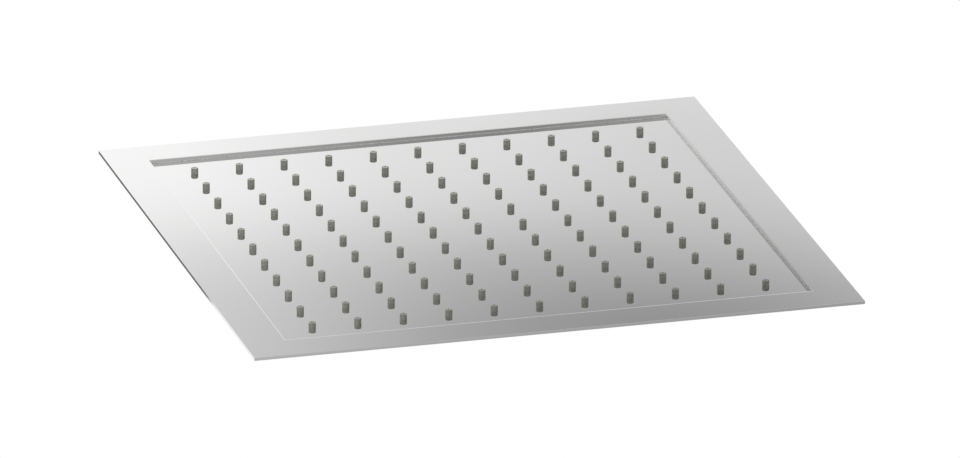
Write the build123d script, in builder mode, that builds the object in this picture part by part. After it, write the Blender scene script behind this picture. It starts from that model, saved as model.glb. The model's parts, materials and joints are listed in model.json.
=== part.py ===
from build123d import *
from math import cos, radians
import os

os.makedirs("parts", exist_ok=True)

# A square flush-mounted rain shower head, as it hangs in a ceiling: +Z up, nozzles facing down.
# The origin is the centre of the inlet's mouth. All sizes are in millimetres.

# Frame and panel
frame_side = 400.0
frame_border = 27.0
frame_thickness = 2.0
window_round = 0.2
bond_thickness = 0.4
bond_setback = 0.1
panel_lap = 13.0
panel_thickness = 1.2

# Nozzle field: nozzles, orifices and holes are drawn with few flats, because there are many of them
nozzle_count = 11
nozzle_margin = 24.0
nozzle_diameter = 4.6
nozzle_stand = 3.4
nozzle_sides = 8
orifice_diameter = 1.2
orifice_sides = 4
hole_clearance = 0.05
strip_width = 9.0
strip_thickness = 1.0
strip_end = 6.0

# Water chamber
chamber_margin = 12.0
chamber_depth = 8.0
tray_sheet = 1.0
tray_flange = 12.0
tray_slope = 45.0
bend_radius = 1.5
pillar_width = 8.0
pillar_rows_outside = 3

# Inlet socket, for a G1/2 pipe end
thread_diameter = 18.6
thread_length = 13.0
seat_diameter = 20.4
seat_clearance = 0.2
passage_diameter = 12.0
hexagon_width = 27.0
hexagon_bevel = 30.0
hexagon_bevel_width = 1.5
socket_flange_diameter = 38.0
socket_flange_thickness = 3.0
seat_floor = 2.0
spigot_diameter = 22.0
spigot_clearance = 0.1
limiter_thickness = 2.5
limiter_bore = 6.0
screen_thickness = 0.5
washer_thickness = 2.0
washer_bore = 13.0
disc_sides = 36

# Hanger studs, M6
stud_spacing = 220.0
stud_diameter = 6.0
stud_height = 16.0
pad_side = 30.0
pad_thickness = 2.0

# Plan sizes that follow
window_side = frame_side - 2 * frame_border
panel_side = window_side + 2 * panel_lap
nozzle_field = window_side - 2 * nozzle_margin
nozzle_pitch = nozzle_field / (nozzle_count - 1)
strip_length = nozzle_field + 2 * strip_end
chamber_side = nozzle_field + 2 * chamber_margin
tray_side = chamber_side + 2 * tray_flange
slanted_sheet = tray_sheet / cos(radians(tray_slope))
pillar_offset = ((nozzle_count - 1) / 2 - pillar_rows_outside + 0.5) * nozzle_pitch
seat_piece_diameter = seat_diameter - 2 * seat_clearance

# Levels that follow, from the mouth of the inlet down to the nozzle tips
seat_top = -thread_length
washer_base = seat_top - washer_thickness
screen_base = washer_base - screen_thickness
seat_base = screen_base - limiter_thickness
roof_top = seat_base - seat_floor
roof_under = roof_top - tray_sheet
panel_back = roof_under - chamber_depth
panel_front = panel_back - panel_thickness
frame_back = panel_front - bond_thickness
frame_front = frame_back - frame_thickness
nozzle_tip = panel_front - nozzle_stand

# Trim frame: flat sheet with a square window, its visible window edge polished slightly round
with BuildPart() as trim_frame:
    with BuildSketch(Plane.XY.offset(frame_front)):
        Rectangle(frame_side, frame_side)
        Rectangle(window_side, window_side, mode=Mode.SUBTRACT)
    extrude(amount=frame_thickness)
    front_face = trim_frame.faces().sort_by(Axis.Z)[0]
    fillet(front_face.inner_wires()[0].edges(), radius=window_round)

# Bond film between the frame and the panel
with BuildPart() as bond_film:
    with BuildSketch(Plane.XY.offset(frame_back)):
        Rectangle(panel_side - 2 * bond_setback, panel_side - 2 * bond_setback)
        Rectangle(window_side + 2 * bond_setback, window_side + 2 * bond_setback, mode=Mode.SUBTRACT)
    extrude(amount=bond_thickness)

# Nozzle panel: flat sheet with one hole for each nozzle
with BuildPart() as nozzle_panel:
    with BuildSketch(Plane.XY.offset(panel_front)):
        Rectangle(panel_side, panel_side)
        with GridLocations(nozzle_pitch, nozzle_pitch, nozzle_count, nozzle_count):
            RegularPolygon(
                nozzle_diameter / 2 + hole_clearance, nozzle_sides, major_radius=False, mode=Mode.SUBTRACT
            )
    extrude(amount=panel_thickness)

# Nozzle strips: each row of nozzles is moulded on a strip that lies on the back of the panel
nozzle_strips = []
for row in range(nozzle_count):
    row_y = (row - (nozzle_count - 1) / 2) * nozzle_pitch
    with BuildPart() as nozzle_strip:
        with BuildSketch(Plane((0, row_y, panel_back))):
            Rectangle(strip_length, strip_width)
        extrude(amount=strip_thickness)
        with BuildSketch(Plane((0, row_y, nozzle_tip))):
            with GridLocations(nozzle_pitch, nozzle_pitch, nozzle_count, 1):
                RegularPolygon(nozzle_diameter / 2, nozzle_sides, major_radius=False)
        extrude(amount=nozzle_stand + panel_thickness)
        with BuildSketch(Plane((0, row_y, nozzle_tip))):
            with GridLocations(nozzle_pitch, nozzle_pitch, nozzle_count, 1):
                RegularPolygon(orifice_diameter / 2, orifice_sides, major_radius=False)
        extrude(amount=nozzle_stand + panel_thickness + strip_thickness, mode=Mode.SUBTRACT)
    nozzle_strip.part.label = f"nozzle_strip_{row + 1:02d}"
    nozzle_strips.append(nozzle_strip.part)

# Back tray: folded sheet with a weld flange, slanted walls and mitred corners
with BuildPart() as back_tray:
    with BuildSketch(Plane.XY.offset(panel_back)):
        Rectangle(tray_side, tray_side)
    extrude(amount=tray_sheet)
    with BuildSketch(Plane.XY.offset(panel_back)):
        Rectangle(chamber_side + 2 * slanted_sheet, chamber_side + 2 * slanted_sheet)
    extrude(amount=chamber_depth + tray_sheet, taper=tray_slope)
    flange_face = back_tray.faces().filter_by(Plane.XY).sort_by(Axis.Z)[-2]
    fillet(flange_face.inner_wires()[0].edges(), radius=bend_radius)
    roof_face = back_tray.faces().sort_by(Axis.Z)[-1]
    fillet(roof_face.outer_wire().edges(), radius=bend_radius + tray_sheet)
    with BuildSketch(Plane.XY.offset(panel_back)):
        Rectangle(chamber_side, chamber_side)
    extrude(amount=chamber_depth, taper=tray_slope, mode=Mode.SUBTRACT)
    base_face = back_tray.faces().sort_by(Axis.Z)[0]
    fillet(base_face.inner_wires()[0].edges(), radius=bend_radius + tray_sheet)
    ceiling_face = back_tray.faces().filter_by(Plane.XY).sort_by(Axis.Z)[-2]
    fillet(ceiling_face.outer_wire().edges(), radius=bend_radius)
    with Locations((0, 0, roof_top)):
        Hole(spigot_diameter / 2 + spigot_clearance, depth=tray_sheet)

# Spacer pillars of hexagon bar between the panel and the tray, midway between the nozzles
with BuildPart() as spacer_pillars:
    with BuildSketch(Plane.XY.offset(panel_back)):
        with GridLocations(2 * pillar_offset, 2 * pillar_offset, 2, 2):
            RegularPolygon(pillar_width / 2, 6, major_radius=False)
    extrude(amount=chamber_depth)

# Inlet socket: turned from hexagon bar, with a weld flange, a spigot in the tray and a stepped bore
with BuildPart() as inlet_socket:
    with BuildSketch(Plane.XY.offset(roof_top)):
        RegularPolygon(hexagon_width / 2, 6, major_radius=False)
    extrude(amount=-roof_top)
    mouth_face = inlet_socket.faces().sort_by(Axis.Z)[-1]
    chamfer(mouth_face.edges(), length=hexagon_bevel_width, angle=hexagon_bevel, reference=mouth_face)
    with BuildSketch(Plane.XY.offset(roof_top)):
        Circle(socket_flange_diameter / 2)
    extrude(amount=socket_flange_thickness)
    with BuildSketch(Plane.XY.offset(roof_under)):
        Circle(spigot_diameter / 2)
    extrude(amount=tray_sheet)
    with BuildSketch(Plane.XZ):
        with BuildLine():
            Polyline(
                (0, 0),
                (thread_diameter / 2, 0),
                (thread_diameter / 2, seat_top),
                (seat_diameter / 2, seat_top),
                (seat_diameter / 2, seat_base),
                (passage_diameter / 2, seat_base),
                (passage_diameter / 2, roof_under),
                (0, roof_under),
                close=True,
            )
        make_face()
    revolve(axis=Axis.Z, mode=Mode.SUBTRACT)

# Flow limiter, screen and washer, stacked on the floor of the socket's seat, each drawn with flats
with BuildPart() as flow_limiter:
    with BuildSketch(Plane.XY.offset(seat_base)):
        RegularPolygon(seat_piece_diameter / 2, disc_sides)
        RegularPolygon(limiter_bore / 2, disc_sides, mode=Mode.SUBTRACT)
    extrude(amount=limiter_thickness)

with BuildPart() as filter_screen:
    with BuildSketch(Plane.XY.offset(screen_base)):
        RegularPolygon(seat_piece_diameter / 2, disc_sides)
    extrude(amount=screen_thickness)

with BuildPart() as filter_washer:
    with BuildSketch(Plane.XY.offset(washer_base)):
        RegularPolygon(seat_piece_diameter / 2, disc_sides)
        RegularPolygon(washer_bore / 2, disc_sides, mode=Mode.SUBTRACT)
    extrude(amount=washer_thickness)

# Stud pads: doubler plates that spread the studs' load over the tray's thin roof
with BuildPart() as stud_pads:
    with BuildSketch(Plane.XY.offset(roof_top)):
        with GridLocations(stud_spacing, stud_spacing, 2, 2):
            Rectangle(pad_side, pad_side)
    extrude(amount=pad_thickness)

# Hanger studs, welded upright on the pads
with BuildPart() as hanger_studs:
    with BuildSketch(Plane.XY.offset(roof_top + pad_thickness)):
        with GridLocations(stud_spacing, stud_spacing, 2, 2):
            Circle(stud_diameter / 2)
    extrude(amount=stud_height)

# Each piece in its own file
trim_frame.part.label = "trim_frame"
bond_film.part.label = "bond_film"
nozzle_panel.part.label = "nozzle_panel"
back_tray.part.label = "back_tray"
spacer_pillars.part.label = "spacer_pillars"
inlet_socket.part.label = "inlet_socket"
flow_limiter.part.label = "flow_limiter"
filter_screen.part.label = "filter_screen"
filter_washer.part.label = "filter_washer"
stud_pads.part.label = "stud_pads"
hanger_studs.part.label = "hanger_studs"

export_step(trim_frame.part, "parts/trim_frame.step")
export_step(bond_film.part, "parts/bond_film.step")
export_step(nozzle_panel.part, "parts/nozzle_panel.step")
for strip in nozzle_strips:
    export_step(strip, f"parts/{strip.label}.step")
export_step(back_tray.part, "parts/back_tray.step")
export_step(spacer_pillars.part, "parts/spacer_pillars.step")
export_step(inlet_socket.part, "parts/inlet_socket.step")
export_step(flow_limiter.part, "parts/flow_limiter.step")
export_step(filter_screen.part, "parts/filter_screen.step")
export_step(filter_washer.part, "parts/filter_washer.step")
export_step(stud_pads.part, "parts/stud_pads.step")
export_step(hanger_studs.part, "parts/hanger_studs.step")
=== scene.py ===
import json
import math

import bmesh
import bpy
from mathutils import Matrix, Quaternion, Vector


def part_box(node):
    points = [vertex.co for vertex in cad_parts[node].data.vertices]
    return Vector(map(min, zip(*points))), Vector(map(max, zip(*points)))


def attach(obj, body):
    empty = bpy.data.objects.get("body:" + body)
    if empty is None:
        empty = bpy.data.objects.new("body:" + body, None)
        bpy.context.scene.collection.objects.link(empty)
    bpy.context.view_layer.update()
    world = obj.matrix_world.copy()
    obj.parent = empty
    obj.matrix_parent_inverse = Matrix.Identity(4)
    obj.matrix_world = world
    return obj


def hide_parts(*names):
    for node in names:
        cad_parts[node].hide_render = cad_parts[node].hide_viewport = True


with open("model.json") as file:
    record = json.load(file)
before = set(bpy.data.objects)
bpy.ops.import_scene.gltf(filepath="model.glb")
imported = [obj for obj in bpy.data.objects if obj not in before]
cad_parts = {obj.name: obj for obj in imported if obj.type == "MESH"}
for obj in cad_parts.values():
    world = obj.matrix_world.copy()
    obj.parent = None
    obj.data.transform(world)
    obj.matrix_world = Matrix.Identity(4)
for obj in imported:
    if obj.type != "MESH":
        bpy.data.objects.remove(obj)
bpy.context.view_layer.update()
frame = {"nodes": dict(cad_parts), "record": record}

# Rain shower head: a square plate that hangs flush in a ceiling with its nozzles down.
# +Z is up and the origin is the middle of the inlet's mouth.
# The head's pieces are worked out in millimetres, the camera and the studio in metres.
MM = 0.001
TURN = 2.0 * math.pi
QUARTER = TURN / 4
SIXTH = TURN / 6
nodes = frame["nodes"]
scene = bpy.context.scene
scene.view_settings.view_transform = "Standard"

# Sizes that the pieces share come from the frame's solids and mounts, to the nearest micrometre
MM_DIGITS = 3


def in_mm(lengths):
    return [round(length / MM, MM_DIGITS) for length in lengths]


def extent(node):
    low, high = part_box(node)
    return in_mm(low), in_mm(high)


# A solid's corners, each as its distance from the inlet's axis and its three coordinates
def corners(node):
    return [in_mm((vert.co.xy.length, *vert.co)) for vert in nodes[node].data.vertices]


mounts = {mount["name"]: mount["dims"] for mount in frame["record"]["mounts"]}

# Trim frame and nozzle panel
frame_low, frame_high = extent("trim_frame")
panel_low, panel_high = extent("nozzle_panel")
FRAME_HALF = frame_high[0]
FRAME_FRONT = frame_low[2]
FRAME_BACK = frame_high[2]
WINDOW_HALF = min(max(abs(x), abs(y)) for radius, x, y, z in corners("trim_frame"))
PANEL_HALF = panel_high[0]
PANEL_FRONT = panel_low[2]
PANEL_BACK = panel_high[2]

# Nozzles, of which the first row lies at the low end of Y
row_low, row_high = extent("nozzle_strip_01")
NOZZLES = sum(name.startswith("nozzle_strip_") for name in nodes)
NOZZLE_TIP = row_low[2]
STRIP_BACK = row_high[2]
STRIP_HALF = (row_high[1] - row_low[1]) / 2
HALF_FIELD = -(row_high[1] + row_low[1]) / 2
PITCH = 2 * HALF_FIELD / (NOZZLES - 1)
STRIP_END = row_high[0] - HALF_FIELD
centres = [k * PITCH - HALF_FIELD for k in range(NOZZLES)]

# Tray, studs and their pads
tray_high = extent("back_tray")[1]
pads_high = extent("stud_pads")[1]
stud_low, stud_high = extent("hanger_studs")
TRAY_HALF = tray_high[0]
ROOF_TOP = tray_high[2]
STUD_BASE = stud_low[2]
STUD_HEIGHT = stud_high[2] - stud_low[2]
STUD_RADIUS = mounts["studs"]["stud_r_mm"]
STUD_OFFSET = mounts["studs"]["spacing_x_mm"] / 2
PAD_HALF = pads_high[0] - STUD_OFFSET
stud_places = [(x, y) for x in (-STUD_OFFSET, STUD_OFFSET) for y in (-STUD_OFFSET, STUD_OFFSET)]

# Inlet socket, from the mouth down to the passage into the tray
socket_low, socket_high = extent("inlet_socket")
socket_corners = corners("inlet_socket")
ROOF_UNDER = socket_low[2]
TRAY_SHEET = ROOF_TOP - ROOF_UNDER
THREAD_RADIUS = mounts["inlet"]["r_mm"]
THREAD_LENGTH = mounts["inlet"]["length_mm"]
SEAT_BASE = extent("flow_limiter")[0][2]
SEAT_RADIUS = max(radius for radius, x, y, z in socket_corners if z == SEAT_BASE)
PASSAGE_RADIUS = min(radius for radius, x, y, z in socket_corners if z == ROOF_UNDER)
SPIGOT_RADIUS = max(radius for radius, x, y, z in socket_corners if z == ROOF_UNDER)
FLANGE_RADIUS = socket_high[0]
FLANGE_TOP = max(z for radius, x, y, z in socket_corners if radius == FLANGE_RADIUS)
HEXAGON_HALF = max(y for radius, x, y, z in socket_corners if z > FLANGE_TOP)

# Filter screen
screen_low, screen_high = extent("filter_screen")
SCREEN_RADIUS = screen_high[0]
SCREEN_MIDDLE = (screen_low[2] + screen_high[2]) / 2

# Camera: a long lens below the head, looking up at the nozzle side.
# It is held upside down, so the nozzle tips point up in the picture.
LENS = 800.0
SENSOR_WIDTH = 36.0
NEAR_CLIP = 0.1
FAR_CLIP = 40.0
DISTANCE = 13.658
AZIMUTH = math.radians(105.17)
ELEVATION = math.radians(-19.98)
ROLL = math.radians(-179.97)
AIM_RIGHT = 0.00121
AIM_DOWN = 0.00029
level_share = math.cos(ELEVATION)
view_back = Vector((level_share * math.cos(AZIMUTH), level_share * math.sin(AZIMUTH), math.sin(ELEVATION)))
view_turn = view_back.to_track_quat("Z", "Y") @ Quaternion((0.0, 0.0, 1.0), ROLL)
target = Vector((0.0, 0.0, PANEL_FRONT * MM)) + view_turn @ Vector((AIM_RIGHT, -AIM_DOWN, 0.0))
camera_data = bpy.data.cameras.new("camera")
camera_data.sensor_fit = "HORIZONTAL"
camera_data.sensor_width = SENSOR_WIDTH
camera_data.lens = LENS
camera_data.clip_start = NEAR_CLIP
camera_data.clip_end = FAR_CLIP
camera = bpy.data.objects.new("camera", camera_data)
scene.collection.objects.link(camera)
camera.matrix_world = Matrix.Translation(target + DISTANCE * view_back) @ view_turn.to_matrix().to_4x4()
scene.camera = camera


# Node helpers
def empty_material(name):
    material = bpy.data.materials.new(name)
    material.use_nodes = True
    material.node_tree.nodes.clear()
    return material, material.node_tree


def show(tree, surface):
    output = tree.nodes.new("ShaderNodeOutputMaterial")
    tree.links.new(surface, output.inputs["Surface"])


def new_material(name):
    material, tree = empty_material(name)
    shader = tree.nodes.new("ShaderNodeBsdfPrincipled")
    show(tree, shader.outputs["BSDF"])
    return material, tree, shader


def finished(tree, shader, colour, rough, metallic=0.0):
    tree.links.new(colour, shader.inputs["Base Color"])
    tree.links.new(rough, shader.inputs["Roughness"])
    shader.inputs["Metallic"].default_value = metallic


# Where a point lies in its own object, in metres
def own_place(tree):
    return tree.nodes.new("ShaderNodeTexCoord").outputs["Object"]


# The same for noise, which is fine along an axis where the stretch is large
def place(tree, stretch=(1.0, 1.0, 1.0)):
    mapping = tree.nodes.new("ShaderNodeMapping")
    mapping.inputs["Scale"].default_value = stretch
    tree.links.new(own_place(tree), mapping.inputs["Vector"])
    return mapping.outputs["Vector"]


def noise(tree, vector, scale, detail=3.0, rough=0.5):
    node = tree.nodes.new("ShaderNodeTexNoise")
    node.inputs["Scale"].default_value = scale
    node.inputs["Detail"].default_value = detail
    node.inputs["Roughness"].default_value = rough
    tree.links.new(vector, node.inputs["Vector"])
    return node.outputs["Fac"]


def ramp(tree, factor, stops):
    node = tree.nodes.new("ShaderNodeValToRGB")
    elements = node.color_ramp.elements
    while len(elements) < len(stops):
        elements.new(0.5)
    for element, (position, colour) in zip(elements, stops):
        element.position = position
        element.color = (*colour, 1.0)
    tree.links.new(factor, node.inputs["Fac"])
    return node.outputs["Color"]


# Most values of a noise lie between these two
NOISE_LOW = 0.3
NOISE_HIGH = 0.7


def spread(tree, factor, low, high, start=NOISE_LOW, end=NOISE_HIGH):
    node = tree.nodes.new("ShaderNodeMapRange")
    node.inputs["From Min"].default_value = start
    node.inputs["From Max"].default_value = end
    node.inputs["To Min"].default_value = low
    node.inputs["To Max"].default_value = high
    tree.links.new(factor, node.inputs["Value"])
    return node.outputs["Result"]


# Each input takes a constant or what another node gives
def feed(tree, node, values):
    for socket, value in zip(node.inputs, values):
        if isinstance(value, bpy.types.NodeSocket):
            tree.links.new(value, socket)
        else:
            socket.default_value = value


def math_node(tree, operation, *values):
    node = tree.nodes.new("ShaderNodeMath")
    node.operation = operation
    feed(tree, node, values)
    return node.outputs["Value"]


def vector_node(tree, operation, *values):
    node = tree.nodes.new("ShaderNodeVectorMath")
    node.operation = operation
    feed(tree, node, values)
    return node.outputs


# The mix node's sockets for colours go by number, because its other sockets have the same names
MIX_FACTOR = 0
MIX_FIRST = 6
MIX_SECOND = 7
MIX_RESULT = 2


def mixed(tree, factor, first, second):
    node = tree.nodes.new("ShaderNodeMix")
    node.data_type = "RGBA"
    for number, value in ((MIX_FACTOR, factor), (MIX_FIRST, first), (MIX_SECOND, second)):
        tree.links.new(value, node.inputs[number])
    return node.outputs[MIX_RESULT]


def bump(tree, shader, height, strength, distance):
    node = tree.nodes.new("ShaderNodeBump")
    node.inputs["Strength"].default_value = strength
    node.inputs["Distance"].default_value = distance
    tree.links.new(height, node.inputs["Height"])
    tree.links.new(node.outputs["Normal"], shader.inputs["Normal"])


# Polished steel: bright and nearly a mirror, with faint clouds of gloss left by the buffing wheel
def polished_steel():
    material, tree, shader = new_material("polished_steel")
    cloud = noise(tree, place(tree), scale=9.0, detail=4.0)
    lines = noise(tree, place(tree, (30.0, 900.0, 30.0)), scale=1.0, detail=2.0)
    tint = ramp(tree, cloud, [(0.3, (0.795, 0.795, 0.792)), (0.7, (0.81, 0.81, 0.807))])
    rough = math_node(tree, "MULTIPLY", spread(tree, cloud, 0.7, 1.3), spread(tree, lines, 0.018, 0.034))
    finished(tree, shader, tint, rough, metallic=1.0)
    return material


# Mill finish: cold rolled sheet with fine rolling lines along X and cloudy differences of gloss
def mill_steel():
    material, tree, shader = new_material("mill_steel")
    lines = noise(tree, place(tree, (14.0, 1500.0, 30.0)), scale=1.0, rough=0.6)
    cloud = noise(tree, place(tree), scale=14.0, detail=4.0)
    dark = ramp(tree, lines, [(0.25, (0.52, 0.52, 0.51)), (0.75, (0.64, 0.64, 0.63))])
    light = ramp(tree, lines, [(0.25, (0.58, 0.58, 0.57)), (0.75, (0.70, 0.70, 0.69))])
    rough = math_node(tree, "ADD", spread(tree, lines, 0.0, 0.12), spread(tree, cloud, 0.20, 0.30))
    finished(tree, shader, mixed(tree, cloud, dark, light), rough, metallic=1.0)
    bump(tree, shader, lines, strength=0.12, distance=0.0002)
    return material


# Turned steel: bright, with fine tool rings across the axis
def turned_steel():
    material, tree, shader = new_material("turned_steel")
    rings = noise(tree, place(tree, (60.0, 60.0, 5200.0)), scale=1.0, detail=2.0, rough=0.6)
    cloud = noise(tree, place(tree), scale=90.0)
    tint = ramp(tree, cloud, [(0.3, (0.66, 0.65, 0.63)), (0.7, (0.74, 0.73, 0.71))])
    finished(tree, shader, tint, spread(tree, rings, 0.16, 0.34), metallic=1.0)
    bump(tree, shader, rings, strength=0.15, distance=0.0001)
    return material


# Weld metal: dull bead with straw and blue heat colours
def weld_steel():
    material, tree, shader = new_material("weld_steel")
    cloud = noise(tree, place(tree), scale=160.0)
    grain = noise(tree, place(tree), scale=900.0, detail=2.0)
    stops = [(0.25, (0.36, 0.36, 0.40)), (0.5, (0.52, 0.49, 0.44)), (0.75, (0.60, 0.59, 0.57))]
    finished(tree, shader, ramp(tree, cloud, stops), spread(tree, cloud, 0.5, 0.3), metallic=1.0)
    bump(tree, shader, grain, strength=0.25, distance=0.0002)
    return material


# Silicone: matte grey-green moulding with a fine skin
def silicone():
    material, tree, shader = new_material("silicone")
    cloud = noise(tree, place(tree), scale=420.0)
    grain = noise(tree, place(tree), scale=9000.0, detail=2.0)
    tint = ramp(tree, cloud, [(0.3, (0.276, 0.281, 0.244)), (0.7, (0.296, 0.301, 0.263))])
    finished(tree, shader, tint, spread(tree, grain, 0.48, 0.62))
    shader.inputs["Specular IOR Level"].default_value = 0.35
    return material


# Plain moulded or cut materials that differ in colour, gloss and grain
GLOSS_RANGE = 0.08


def moulded(name, dark, light, rough, grain_scale, relief=0.1):
    material, tree, shader = new_material(name)
    cloud = noise(tree, place(tree), scale=180.0)
    grain = noise(tree, place(tree), scale=grain_scale, detail=2.0)
    tint = ramp(tree, cloud, [(0.3, dark), (0.7, light)])
    finished(tree, shader, tint, spread(tree, grain, rough - GLOSS_RANGE, rough + GLOSS_RANGE))
    if relief:
        bump(tree, shader, grain, strength=relief, distance=0.0001)
    return material


steel_polished = polished_steel()
steel_mill = mill_steel()
steel_turned = turned_steel()
steel_weld = weld_steel()
soft_silicone = silicone()
pale_bond = moulded("bond", (0.68, 0.68, 0.67), (0.71, 0.71, 0.70), 0.6, 900.0, relief=0.0)
green_plastic = moulded("limiter_plastic", (0.060, 0.125, 0.088), (0.075, 0.150, 0.105), 0.4, 3000.0)
black_rubber = moulded("washer_rubber", (0.016, 0.016, 0.016), (0.028, 0.028, 0.028), 0.65, 5000.0)


# Mesh helpers, which hold a part as its corner points and its faces
def skin(rings, closed=False):
    count = len(rings[0])
    verts = [point for ring in rings for point in ring]
    faces = []
    for row in range(len(rings) if closed else len(rings) - 1):
        near = row * count
        far = (row + 1) % len(rings) * count
        for k in range(count):
            step = (k + 1) % count
            faces.append((near + k, near + step, far + step, far + k))
    return verts, faces


def capped(rings):
    verts, faces = skin(rings)
    count = len(rings[0])
    last = (len(rings) - 1) * count
    faces.append(tuple(reversed(range(count))))
    faces.append(tuple(range(last, last + count)))
    return verts, faces


def joined(parts):
    verts = []
    faces = []
    for part_verts, part_faces in parts:
        base = len(verts)
        verts.extend(part_verts)
        faces.extend(tuple(base + index for index in face) for face in part_faces)
    return verts, faces


def moved(part, x, y, z=0.0):
    verts, faces = part
    return [(a + x, b + y, c + z) for a, b, c in verts], faces


# Points nearer than this to each other, in metres, become one
MERGE = 1e-7


# A finished piece, whose edges stay crisp where they turn by more than the sharp angle in degrees
def piece(name, parts, material, sharp, stands_for=()):
    verts, faces = joined(parts)
    mesh = bpy.data.meshes.new(name)
    mesh.from_pydata([(a * MM, b * MM, c * MM) for a, b, c in verts], [], faces)
    shape = bmesh.new()
    shape.from_mesh(mesh)
    bmesh.ops.remove_doubles(shape, verts=shape.verts, dist=MERGE)
    bmesh.ops.recalc_face_normals(shape, faces=shape.faces)
    shape.to_mesh(mesh)
    shape.free()
    mesh.materials.append(material)
    mesh.polygons.foreach_set("use_smooth", [True] * len(mesh.polygons))
    mesh.set_sharp_from_angle(angle=math.radians(sharp))
    obj = bpy.data.objects.new(name, mesh)
    scene.collection.objects.link(obj)
    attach(obj, "root")
    if stands_for:
        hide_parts(*stands_for)


def polar(radius, k, count, z):
    angle = TURN * k / count
    return (radius * math.cos(angle), radius * math.sin(angle), z)


def circle(radius, z, count):
    return [polar(radius, k, count, z) for k in range(count)]


def square(half, z):
    return [(half, half, z), (-half, half, z), (-half, -half, z), (half, -half, z)]


def quarter_turned(x, y, times):
    for k in range(times):
        x, y = -y, x
    return x, y


# Part of an ellipse in a profile, from one angle to another
ROUND_STEPS = 4


def rounded(centre, size, start, end):
    points = []
    for k in range(ROUND_STEPS + 1):
        angle = start + (end - start) * k / ROUND_STEPS
        points.append((centre[0] + size[0] * math.cos(angle), centre[1] + size[1] * math.sin(angle)))
    return points


# Nozzles: each row is one moulding, a strip behind the panel with round pegs through it.
# Each peg has a small flare at the panel, a softly rounded tip and an orifice right through the strip.
# Flare and rounds are given by their size across the nozzle and along it.
PEG_SIDES = 28
STRIP_BEVEL = 0.2
NOZZLE_RADIUS = 2.3
NOZZLE_STAND = PANEL_FRONT - NOZZLE_TIP
ORIFICE_RADIUS = 0.6
FLARE = (0.07, 0.16)
TIP_ROUND = (0.22, 0.26)
ORIFICE_ROUND = (0.16, 0.25)


# The peg's wall from the back of the panel to the tip and back up the orifice: radius, depth under the panel
def peg_profile():
    wall = [(NOZZLE_RADIUS, PANEL_FRONT - PANEL_BACK), (NOZZLE_RADIUS, 0.0)]
    flare = rounded((NOZZLE_RADIUS + FLARE[0], FLARE[1]), FLARE, 3 * QUARTER, 2 * QUARTER)
    tip_middle = (NOZZLE_RADIUS - TIP_ROUND[0], NOZZLE_STAND - TIP_ROUND[1])
    tip = rounded(tip_middle, TIP_ROUND, 0.0, QUARTER)
    mouth_middle = (ORIFICE_RADIUS + ORIFICE_ROUND[0], NOZZLE_STAND - ORIFICE_ROUND[1])
    mouth = rounded(mouth_middle, ORIFICE_ROUND, QUARTER, 2 * QUARTER)
    return wall + flare + tip + mouth + [(ORIFICE_RADIUS, PANEL_FRONT - STRIP_BACK)]


# Steps along one peg's stretch of the strip: an oblong over them has as many points as the peg has sides
def cell_steps(column, inset):
    left = STRIP_END - inset if column == 0 else PITCH / 2
    right = STRIP_END - inset if column == NOZZLES - 1 else PITCH / 2
    count = (PEG_SIDES - 4) // 2
    return [right - (left + right) * k / count for k in range(count + 1)]


def oblong(steps, half, z):
    far = [(x, half, z) for x in steps]
    near = [(x, -half, z) for x in reversed(steps)]
    return [(steps[0], 0.0, z)] + far + [(steps[-1], 0.0, z)] + near


def peg_cell(column):
    steps = cell_steps(column, STRIP_BEVEL)
    half = STRIP_HALF - STRIP_BEVEL
    rings = [oblong(steps, half, PANEL_BACK)]
    rings += [circle(radius, PANEL_FRONT - depth, PEG_SIDES) for radius, depth in peg_profile()]
    rings.append(oblong(steps, half, STRIP_BACK))
    return skin(rings)


def strip_edge(inset, z):
    steps = []
    for column in reversed(range(NOZZLES)):
        steps += [centres[column] + x for x in cell_steps(column, inset)[:-1]]
    steps.append(-HALF_FIELD - STRIP_END + inset)
    return oblong(steps, STRIP_HALF - inset, z)


strip_rim = skin([
    strip_edge(STRIP_BEVEL, PANEL_BACK),
    strip_edge(0.0, PANEL_BACK + STRIP_BEVEL),
    strip_edge(0.0, STRIP_BACK - STRIP_BEVEL),
    strip_edge(STRIP_BEVEL, STRIP_BACK),
])
pegs = [moved(peg_cell(column), x, 0.0) for column, x in enumerate(centres)]
nozzle_row = joined([strip_rim] + pegs)
for row, y in enumerate(centres):
    name = f"nozzle_row_{row + 1:02d}"
    stood_for = (f"nozzle_strip_{row + 1:02d}",)
    piece(name, [moved(nozzle_row, 0.0, y)], soft_silicone, sharp=50.0, stands_for=stood_for)


# Trim frame: flat sheet whose outer edge is hardly broken and whose window is polished to a soft roll
OUTER_BREAK = 0.03
EDGE_WIDE = 0.75
EDGE_DEEP = 0.20
EDGE_STEPS = 9


def rolled_edge():
    rings = []
    for k in range(EDGE_STEPS + 1):
        t = k / EDGE_STEPS
        rings.append(square(WINDOW_HALF + EDGE_WIDE * (1.0 - t) ** 2, FRAME_FRONT + EDGE_DEEP * t ** 2))
    return rings


frame_sheet = skin([
    square(FRAME_HALF, FRAME_BACK),
    square(FRAME_HALF, FRAME_FRONT + OUTER_BREAK),
    square(FRAME_HALF - OUTER_BREAK, FRAME_FRONT),
    *rolled_edge(),
    square(WINDOW_HALF, FRAME_BACK),
], closed=True)
piece("frame_sheet", [frame_sheet], steel_polished, sharp=0.5, stands_for=("trim_frame",))


# Nozzle panel: flat sheet of square cells, each with a round punched hole, inside a plain border
HOLE_SIDES = 32
HOLE_EIGHTH = HOLE_SIDES // 8
HOLE_GAP = 0.03
HOLE_RADIUS = NOZZLE_RADIUS + HOLE_GAP
HOLE_BREAK = 0.04
HALF_CELLS = NOZZLES * PITCH / 2


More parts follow.
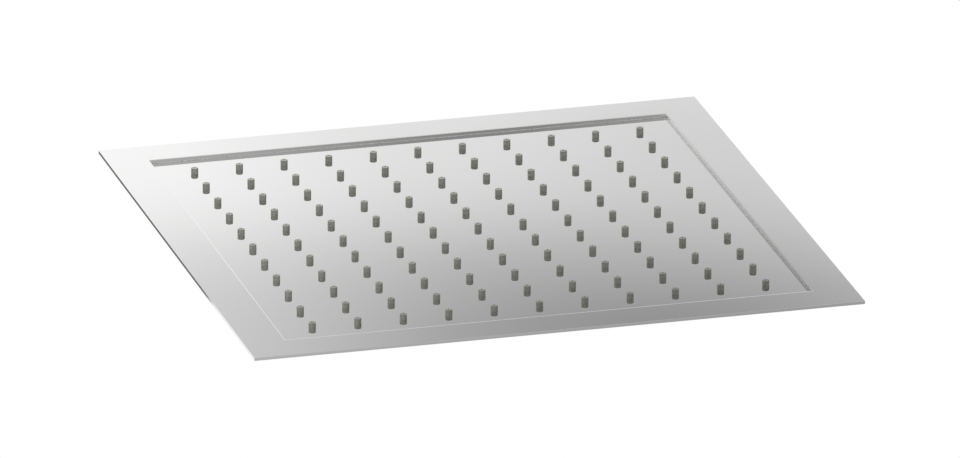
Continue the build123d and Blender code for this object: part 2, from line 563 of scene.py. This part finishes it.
# The cell's square has its points in line with those of the hole
def cell_outline(z):
    ring = []
    for k in range(HOLE_SIDES):
        c = math.cos(TURN * k / HOLE_SIDES)
        s = math.sin(TURN * k / HOLE_SIDES)
        reach = PITCH / 2 / max(abs(c), abs(s))
        ring.append((reach * c, reach * s, z))
    return ring


# The border's square has a point for each point of the cells along it
def field_outline(half, z):
    steps = [PITCH / 2 * math.tan(TURN * k / HOLE_SIDES) for k in range(-HOLE_EIGHTH, HOLE_EIGHTH)]
    scale = half / HALF_CELLS
    ring = []
    for quarter in range(4):
        for centre in centres:
            for step in steps:
                x, y = quarter_turned(HALF_CELLS, centre + step, quarter)
                ring.append((x * scale, y * scale, z))
    return ring


hole = skin([
    cell_outline(PANEL_FRONT),
    circle(HOLE_RADIUS + HOLE_BREAK, PANEL_FRONT, HOLE_SIDES),
    circle(HOLE_RADIUS, PANEL_FRONT + HOLE_BREAK, HOLE_SIDES),
    circle(HOLE_RADIUS, PANEL_BACK, HOLE_SIDES),
    cell_outline(PANEL_BACK),
])
border = skin([
    field_outline(HALF_CELLS, PANEL_FRONT),
    field_outline(PANEL_HALF, PANEL_FRONT),
    field_outline(PANEL_HALF, PANEL_BACK),
    field_outline(HALF_CELLS, PANEL_BACK),
])
panel = [moved(hole, x, y) for x in centres for y in centres] + [border]
piece("punched_panel", panel, steel_polished, sharp=30.0, stands_for=("nozzle_panel",))


# Thread profile over one turn, 0 at the root and 1 at the crest, with a flat of a sixth at each
THREAD_FLAT = 1 / 6


def thread(phase):
    wave = abs((phase % 1.0) - 0.5) * 2.0
    return min(1.0, max(0.0, (1.0 - THREAD_FLAT - wave) / (1.0 - 2.0 * THREAD_FLAT)))


# Hanger studs: M6 threads, with a plain waist over the weld and a bevelled end
STUD_SIDES = 24
STUD_STEPS = 128
STUD_PITCH = 1.0
STUD_THREAD_DEEP = 0.58
STUD_END_RADIUS = 2.2
WAIST_RADIUS = 2.7
WAIST_HEIGHT = 1.6


def stud_radius(height, k):
    if height < WAIST_HEIGHT:
        return WAIST_RADIUS
    crest = thread(height / STUD_PITCH - k / STUD_SIDES)
    return min(STUD_RADIUS - STUD_THREAD_DEEP * (1.0 - crest), STUD_END_RADIUS + STUD_HEIGHT - height)


stud_rings = []
for step in range(STUD_STEPS + 1):
    rise = STUD_HEIGHT * step / STUD_STEPS
    level = STUD_BASE + rise
    stud_rings.append([polar(stud_radius(rise, k), k, STUD_SIDES, level) for k in range(STUD_SIDES)])
stud = capped(stud_rings)
studs = [moved(stud, x, y) for x, y in stud_places]
piece("threaded_studs", studs, steel_turned, sharp=50.0, stands_for=("hanger_studs",))


# Inlet socket: hexagon with a turned bevel and flange, and a pipe thread down to the seat
SEGMENTS = 144
FLANGE_BREAK = 0.3
FLANGE_FLAT = 16.6
HEXAGON_FILLET = 0.5
BEVEL_SLOPE = math.tan(math.radians(30.0))
BEVEL_START = 13.38
FACE_RADIUS = 13.3
MOUTH_RADIUS = 10.75
THREAD_PITCH = 1.814
THREAD_DEEP = 1.1
THREAD_STEPS = 86
PLAIN_LENGTH = 1.0
LAST_STEP = 0.1
THREAD_BOTTOM = THREAD_LENGTH - LAST_STEP
RUN_OUT = THREAD_LENGTH - PLAIN_LENGTH


def hexagon(k):
    angle = TURN * k / SEGMENTS % SIXTH
    return HEXAGON_HALF / math.cos(angle - SIXTH / 2)


def thread_radius(depth, k):
    deep = thread(-depth / THREAD_PITCH - k / SEGMENTS) if depth < RUN_OUT else 0.0
    return max(THREAD_RADIUS + THREAD_DEEP * deep, MOUTH_RADIUS - depth)


def socket_foot():
    outline = [
        (PASSAGE_RADIUS, ROOF_UNDER),
        (SPIGOT_RADIUS - FLANGE_BREAK, ROOF_UNDER),
        (SPIGOT_RADIUS, ROOF_UNDER + FLANGE_BREAK),
        (SPIGOT_RADIUS, ROOF_TOP),
        (FLANGE_RADIUS - FLANGE_BREAK, ROOF_TOP),
        (FLANGE_RADIUS, ROOF_TOP + FLANGE_BREAK),
        (FLANGE_RADIUS, FLANGE_TOP - FLANGE_BREAK),
        (FLANGE_RADIUS - FLANGE_BREAK, FLANGE_TOP),
        (FLANGE_FLAT, FLANGE_TOP),
    ]
    return [circle(radius, z, SEGMENTS) for radius, z in outline]


def socket_hexagon():
    corner = (HEXAGON_FILLET, HEXAGON_FILLET)
    fillet = rounded(corner, corner, 3 * QUARTER, 2 * QUARTER) + [(0.0, 2 * HEXAGON_FILLET)]
    rings = []
    for grow, rise in fillet:
        rings.append([polar(hexagon(k) + grow, k, SEGMENTS, FLANGE_TOP + rise) for k in range(SEGMENTS)])
    bevel = []
    for k in range(SEGMENTS):
        bevel.append(polar(hexagon(k), k, SEGMENTS, (BEVEL_START - hexagon(k)) * BEVEL_SLOPE))
    return rings + [bevel, circle(FACE_RADIUS, 0.0, SEGMENTS)]


def socket_bore():
    rings = [circle(MOUTH_RADIUS, 0.0, SEGMENTS)]
    for step in range(1, THREAD_STEPS + 1):
        depth = THREAD_BOTTOM * step / THREAD_STEPS
        rings.append([polar(thread_radius(depth, k), k, SEGMENTS, -depth) for k in range(SEGMENTS)])
    seat = [
        (THREAD_RADIUS, -THREAD_LENGTH),
        (SEAT_RADIUS, -THREAD_LENGTH),
        (SEAT_RADIUS, SEAT_BASE),
        (PASSAGE_RADIUS, SEAT_BASE),
    ]
    return rings + [circle(radius, z, SEGMENTS) for radius, z in seat]


socket = skin(socket_foot() + socket_hexagon() + socket_bore(), closed=True)
piece("threaded_socket", [socket], steel_turned, sharp=35.0, stands_for=("inlet_socket",))


# Filter screen: woven wire in a flat rim
SCREEN_RIM_SIDES = 72
SCREEN_RIM_WIDTH = 1.0
WIRES_EACH_SIDE = 10
WIRE_STEP = 0.9
WIRE_DIVISIONS = 4
WIRE_RADIUS = 0.12
WIRE_LIFT = 0.125
WIRE_IN_RIM = 0.4
WIRE_REACH = SCREEN_RADIUS - SCREEN_RIM_WIDTH + WIRE_IN_RIM
WIRE_SIDES = 5


def woven_wire(offset, flip):
    reach = math.sqrt(WIRE_REACH ** 2 - offset ** 2)
    count = int(2 * reach / WIRE_STEP * WIRE_DIVISIONS)
    rings = []
    for step in range(count + 1):
        along = -reach + 2 * reach * step / count
        lift = WIRE_LIFT * math.cos(math.pi * along / WIRE_STEP) * flip
        ring = []
        for k in range(WIRE_SIDES):
            x, y, z = polar(WIRE_RADIUS, k, WIRE_SIDES, along)
            ring.append((z, offset + x, SCREEN_MIDDLE + lift + y))
        rings.append(ring)
    return capped(rings)


def crossed(part):
    verts, faces = part
    return [(y, x, z) for x, y, z in verts], [tuple(reversed(face)) for face in faces]


rim_outline = [
    (SCREEN_RADIUS - SCREEN_RIM_WIDTH, screen_low[2]),
    (SCREEN_RADIUS, screen_low[2]),
    (SCREEN_RADIUS, screen_high[2]),
    (SCREEN_RADIUS - SCREEN_RIM_WIDTH, screen_high[2]),
]
screen = [skin([circle(radius, z, SCREEN_RIM_SIDES) for radius, z in rim_outline], closed=True)]
for index in range(-WIRES_EACH_SIDE, WIRES_EACH_SIDE + 1):
    flip = 1 if index % 2 else -1
    screen.append(woven_wire(index * WIRE_STEP, flip))
    screen.append(crossed(woven_wire(index * WIRE_STEP, -flip)))
piece("woven_screen", screen, steel_turned, sharp=50.0, stands_for=("filter_screen",))


# Weld beads: a seam round the tray's flange, a ring round the socket and a collar at each stud
BEAD_SIDES = 7
BEAD_OUTWARD = 0.2
SEAM_INSET = 3.5
SEAM_CORNER = 6.0


def bead(path_point, steps, width, height, ripple, ripples):
    rings = []
    for step in range(steps):
        t = step / steps
        swell = 1.0 + ripple * math.sin(TURN * ripples * t)
        centre, outward = path_point(t)
        ring = []
        for k in range(BEAD_SIDES + 1):
            angle = math.pi * k / BEAD_SIDES
            across = width / 2 * swell * math.cos(angle)
            rise = height * swell * math.sin(angle)
            ring.append((centre[0] + outward[0] * across, centre[1] + outward[1] * across, centre[2] + rise))
        rings.append(ring)
    return skin(rings, closed=True)


# A square with round corners: each quarter of the way is a straight side and the corner after it
def seam_point(t):
    half = TRAY_HALF - SEAM_INSET
    straight = 2 * (half - SEAM_CORNER)
    arc = QUARTER * SEAM_CORNER
    side = int(4 * t)
    run = (4 * t - side) * (straight + arc)
    if run < straight:
        x, y = half, run - straight / 2
        outward = (1.0, 0.0)
    else:
        angle = (run - straight) / SEAM_CORNER
        outward = (math.cos(angle), math.sin(angle))
        x = half - SEAM_CORNER + SEAM_CORNER * outward[0]
        y = half - SEAM_CORNER + SEAM_CORNER * outward[1]
    x, y = quarter_turned(x, y, side)
    return (x, y, PANEL_BACK + TRAY_SHEET), quarter_turned(*outward, side)


def ring_point(radius, x, y, z):
    def point(t):
        c, s = math.cos(TURN * t), math.sin(TURN * t)
        return (x + radius * c, y + radius * s, z), (c, s)
    return point


socket_ring = ring_point(FLANGE_RADIUS + BEAD_OUTWARD, 0.0, 0.0, ROOF_TOP)
beads = [
    bead(seam_point, steps=1800, width=1.5, height=0.28, ripple=0.07, ripples=600),
    bead(socket_ring, steps=324, width=3.0, height=1.3, ripple=0.05, ripples=64),
]
for x, y in stud_places:
    stud_ring = ring_point(WAIST_RADIUS + BEAD_OUTWARD, x, y, STUD_BASE)
    beads.append(bead(stud_ring, steps=48, width=2.2, height=0.8, ripple=0.12, ripples=7))
piece("weld_beads", beads, steel_weld, sharp=60.0)


# Spot welds: a shallow dish in a raised rim near each corner of the pads
DIMPLE_SIDES = 28
DIMPLE_INSET = 4.5
DIMPLE_OFFSET = PAD_HALF - DIMPLE_INSET
DIMPLE_RIM_MIDDLE = (2.1, 0.0)
DIMPLE_RIM_ROUND = (0.5, 0.13)
DIMPLE_RIM_END = 1.6 * QUARTER
DISH_MIDDLE = (0.0, 0.10)
DISH_ROUND = (1.7, 0.08)
DISH_START = -0.2 * QUARTER
DISH_END = -0.9 * QUARTER
dimple_outline = rounded(DIMPLE_RIM_MIDDLE, DIMPLE_RIM_ROUND, 0.0, DIMPLE_RIM_END)
dimple_outline += rounded(DISH_MIDDLE, DISH_ROUND, DISH_START, DISH_END)
dimple = capped([circle(radius, z, DIMPLE_SIDES) for radius, z in dimple_outline])
dimples = []
for pad_x, pad_y in stud_places:
    for x in (pad_x - DIMPLE_OFFSET, pad_x + DIMPLE_OFFSET):
        for y in (pad_y - DIMPLE_OFFSET, pad_y + DIMPLE_OFFSET):
            dimples.append(moved(dimple, x, y, STUD_BASE))
piece("spot_welds", dimples, steel_weld, sharp=60.0)


# Finishes of the solids that stay as they are
finishes = {
    "bond_film": pale_bond,
    "back_tray": steel_mill,
    "spacer_pillars": steel_mill,
    "stud_pads": steel_mill,
    "flow_limiter": green_plastic,
    "filter_washer": black_rubber,
}
for node_name, material in finishes.items():
    solid = nodes[node_name]
    solid.data.materials.clear()
    solid.data.materials.append(material)


# Studio helpers: sheets that lie level unless they are turned
LEVEL = (0.0, 0.0, 0.0)
UPRIGHT = (QUARTER, 0.0, 0.0)
SIDEWAYS = (QUARTER, 0.0, QUARTER)
BEND_STEPS = 24
WHITE = (1.0, 1.0, 1.0, 1.0)


def stage_sheet(name, verts, faces):
    mesh = bpy.data.meshes.new(name)
    mesh.from_pydata(verts, [], faces)
    obj = bpy.data.objects.new(name, mesh)
    scene.collection.objects.link(obj)
    material, tree = empty_material(name)
    mesh.materials.append(material)
    return obj, tree


def flat_sheet(name, centre, size, turned_by=LEVEL):
    x, y = size[0] / 2, size[1] / 2
    verts = [(-x, -y, 0.0), (x, -y, 0.0), (x, y, 0.0), (-x, y, 0.0)]
    obj, tree = stage_sheet(name, verts, [(0, 1, 2, 3)])
    obj.location = centre
    obj.rotation_euler = turned_by
    return obj, tree


def bent_sheet(name, radius, half_angle, half_height):
    verts = []
    for k in range(BEND_STEPS + 1):
        angle = half_angle * (2 * k / BEND_STEPS - 1)
        x, y = radius * math.cos(angle), abs(radius) * math.sin(angle)
        verts += [(x, y, -half_height), (x, y, half_height)]
    return stage_sheet(name, verts, [(2 * k, 2 * k + 2, 2 * k + 3, 2 * k + 1) for k in range(BEND_STEPS)])


def seen_in_gloss_only(obj):
    obj.visible_camera = False
    obj.visible_diffuse = False
    obj.visible_shadow = False


# Each limit gives an axis, the sheet's half length along it and the soft margin at its ends
def flat_limits(size, soft_x, soft_y):
    return [("X", size[0] / 2, soft_x), ("Y", size[1] / 2, soft_y)]


# 1 well inside the sheet, falling to 0 over the soft margin at its edges
def inside(tree, limits):
    split = tree.nodes.new("ShaderNodeSeparateXYZ")
    tree.links.new(own_place(tree), split.inputs["Vector"])
    total = None
    for axis, half, soft in limits:
        inward = math_node(tree, "SUBTRACT", half, math_node(tree, "ABSOLUTE", split.outputs[axis]))
        share = spread(tree, inward, 0.0, 1.0, start=0.0, end=soft)
        total = share if total is None else math_node(tree, "MULTIPLY", total, share)
    return total


# Gauzes: soft grey nets that only polished surfaces see, hung in white surroundings
def net(obj, tree, amount, limits):
    clear = tree.nodes.new("ShaderNodeBsdfTransparent")
    taken = math_node(tree, "MULTIPLY", amount, inside(tree, limits))
    tree.links.new(math_node(tree, "SUBTRACT", 1.0, taken), clear.inputs["Color"])
    show(tree, clear.outputs["BSDF"])
    seen_in_gloss_only(obj)


# Each spot gives the share of light that it takes, its place on the sheet, its width and its height
def spotted_gauze(name, centre, size, turned_by, spots, soft=0.25):
    obj, tree = flat_sheet(name, centre, size, turned_by)
    here = own_place(tree)
    total = None
    for amount, x, y, wide, high in spots:
        away = vector_node(tree, "SUBTRACT", here, (x, y, 0.0))["Vector"]
        scaled = vector_node(tree, "MULTIPLY", away, (1.0 / wide, 1.0 / high, 0.0))["Vector"]
        squared = vector_node(tree, "DOT_PRODUCT", scaled, scaled)["Value"]
        faded = math_node(tree, "EXPONENT", math_node(tree, "MULTIPLY", squared, -1.0))
        spot = math_node(tree, "MULTIPLY", faded, amount)
        total = spot if total is None else math_node(tree, "ADD", total, spot)
    net(obj, tree, total, flat_limits(size, soft, soft))


# The face's gauze hangs where the camera sees the middle of the face reflected
FACE_DROP = 0.5
face_across = FACE_DROP * view_back.x / view_back.z
face_along = FACE_DROP * view_back.y / view_back.z
face_place = (face_across, face_along, PANEL_FRONT * MM - FACE_DROP)
face_spots = [
    (0.68, 0.06, 0.26, 0.38, 0.21),
    (0.31, 0.22, -0.16, 0.19, 0.23),
    (0.16, -0.08, 0.04, 0.39, 0.13),
    (0.15, -0.04, -0.20, 0.15, 0.29),
    (0.92, -0.55, 0.60, 0.19, 0.71),
    (0.60, -0.95, -0.40, 0.25, 0.40),
    (0.32, -0.20, 0.45, 0.15, 0.10),
]
front_spots = [
    (0.46, 0.30, -0.10, 1.10, 1.10),
    (0.24, 0.38, -0.47, 0.16, 0.30),
    (0.19, 0.45, 0.30, 0.45, 0.30),
]
side_spots = [(0.82, 0.0, 0.0, 5.0, 5.0)]
spotted_gauze("gauze_face", face_place, size=(2.0, 2.0), turned_by=LEVEL, spots=face_spots)
spotted_gauze("gauze_front", (0.0, 1.0, 0.0), size=(3.2, 2.8), turned_by=UPRIGHT, spots=front_spots)
side_place = (-0.5, -1.25, 0.386)
spotted_gauze("gauze_side", side_place, size=(0.36, 0.2), turned_by=SIDEWAYS, spots=side_spots, soft=0.02)


# Cloudy gauzes over, under and at both ends of the head
CLOUD_SHARE = 0.5
CLOUD_SCALE = 1.9
CLOUD_FADE = (0.36, 0.64)
OVER_SIZE = (4.6, 2.4)
UNDER_SIZE = (2.4, 1.4)
END_RADIUS = 1.3
END_ANGLE = math.radians(54.0)
END_WIDTH = 1.05
END_HEIGHT = 1.0


def cloudy_gauze(sheet, limits):
    obj, tree = sheet
    cloud = noise(tree, own_place(tree), CLOUD_SCALE, detail=0.0)
    net(obj, tree, spread(tree, cloud, 0.0, CLOUD_SHARE, *CLOUD_FADE), limits)


cloudy_gauze(flat_sheet("gauze_over", (0.0, 0.0, 0.55), OVER_SIZE), flat_limits(OVER_SIZE, 0.4, 0.25))
cloudy_gauze(flat_sheet("gauze_under", (0.0, 0.35, -0.6), UNDER_SIZE), flat_limits(UNDER_SIZE, 0.3, 0.25))
end_limits = [("Y", END_WIDTH, 0.2), ("Z", END_HEIGHT, 0.25)]
for name, radius in (("gauze_left", -END_RADIUS), ("gauze_right", END_RADIUS)):
    cloudy_gauze(bent_sheet(name, radius, END_ANGLE, END_HEIGHT), end_limits)


# Soft boxes behind the head, seen in its polished faces and edges
def soft_box(name, centre, size, strength, soft):
    obj, tree = flat_sheet(name, centre, size, UPRIGHT)
    share = inside(tree, flat_limits(size, soft, soft))
    glow = tree.nodes.new("ShaderNodeEmission")
    tree.links.new(spread(tree, share, 1.0, strength, start=0.0, end=1.0), glow.inputs["Strength"])
    show(tree, glow.outputs["Emission"])
    seen_in_gloss_only(obj)


soft_box("box_face", centre=(0.3, -3.2, -1.1), size=(4.4, 2.2), strength=1.19, soft=0.3)
soft_box("box_edge", centre=(1.45, -3.0, 0.4), size=(0.66, 1.0), strength=2.4, soft=0.06)


# Floor: a pale round patch under the head that fades into the white, seen only from above
FLOOR_GAP = 0.0002
FLOOR_SIDE = 1.8
FLOOR_FADE = (0.3, 0.85)
FLOOR_GLOW = 0.45
FLOOR_GRAIN = 6.0
FLOOR_TINTS = [(0.0, (0.86, 0.86, 0.86)), (1.0, (0.90, 0.90, 0.90))]
FLOOR_ROUGH = 0.7


def pale_floor(tree):
    here = own_place(tree)
    shader = tree.nodes.new("ShaderNodeBsdfPrincipled")
    tint = ramp(tree, noise(tree, here, FLOOR_GRAIN), FLOOR_TINTS)
    tree.links.new(tint, shader.inputs["Base Color"])
    shader.inputs["Roughness"].default_value = FLOOR_ROUGH
    shader.inputs["Specular IOR Level"].default_value = 0.0
    shader.inputs["Emission Color"].default_value = WHITE
    shader.inputs["Emission Strength"].default_value = FLOOR_GLOW
    clear = tree.nodes.new("ShaderNodeBsdfTransparent")
    side = tree.nodes.new("ShaderNodeNewGeometry")
    mix = tree.nodes.new("ShaderNodeMixShader")
    faded_out = spread(tree, vector_node(tree, "LENGTH", here)["Value"], 0.0, 1.0, *FLOOR_FADE)
    hidden = math_node(tree, "MAXIMUM", faded_out, side.outputs["Backfacing"])
    feed(tree, mix, (hidden, shader.outputs["BSDF"], clear.outputs["BSDF"]))
    show(tree, mix.outputs["Shader"])


floor_level = NOZZLE_TIP * MM - FLOOR_GAP
floor, floor_tree = flat_sheet("floor", (0.0, 0.0, floor_level), (FLOOR_SIDE, FLOOR_SIDE))
pale_floor(floor_tree)
floor.visible_diffuse = False
floor.visible_glossy = False
floor.visible_shadow = False


# White surroundings, and a plain level of light
SKY_LIGHT = 0.285
world = bpy.data.worlds.new("studio")
scene.world = world
world.use_nodes = True
world_tree = world.node_tree
world_tree.nodes.clear()
world_output = world_tree.nodes.new("ShaderNodeOutputWorld")
background = world_tree.nodes.new("ShaderNodeBackground")
background.inputs["Color"].default_value = WHITE
world_tree.links.new(background.outputs["Background"], world_output.inputs["Surface"])
path = world_tree.nodes.new("ShaderNodeLightPath")
seen = math_node(world_tree, "ADD", path.outputs["Is Camera Ray"], path.outputs["Is Glossy Ray"])
seen = math_node(world_tree, "ADD", seen, path.outputs["Is Transmission Ray"])
sky = spread(world_tree, seen, SKY_LIGHT, 1.0, start=0.0, end=1.0)
world_tree.links.new(sky, background.inputs["Strength"])


# Lamps: soft squares that light the matte surfaces and leave no image in the polished ones
SMALL_LAMP = 0.35
LARGE_LAMP = 1.0
WIDE_BEAM = math.radians(180.0)
NARROW_BEAM = math.radians(120.0)


def soft_lamp(name, place_at, aim, size, beam, power):
    data = bpy.data.lights.new(name, "AREA")
    data.shape = "SQUARE"
    data.size = size
    data.spread = beam
    data.energy = power
    lamp = bpy.data.objects.new(name, data)
    scene.collection.objects.link(lamp)
    lamp.location = place_at
    lamp.rotation_euler = (Vector(aim) - Vector(place_at)).to_track_quat("-Z", "Y").to_euler()
    lamp.visible_glossy = False


soft_lamp("lamp_low", (-0.16, -0.5, -0.55), (-0.25, -0.25, -0.03), SMALL_LAMP, WIDE_BEAM, power=5.7)
soft_lamp("lamp_side", (-0.5, 0.38, -0.3), (-0.3, -0.3, -0.03), SMALL_LAMP, NARROW_BEAM, power=0.92)
soft_lamp("lamp_fill", (0.5, 0.2, -0.3), (0.1, -0.3, -0.03), SMALL_LAMP, NARROW_BEAM, power=0.28)
soft_lamp("lamp_above", (-0.9, 0.6, 1.5), (0.0, 0.0, 0.0), LARGE_LAMP, WIDE_BEAM, power=14.0)
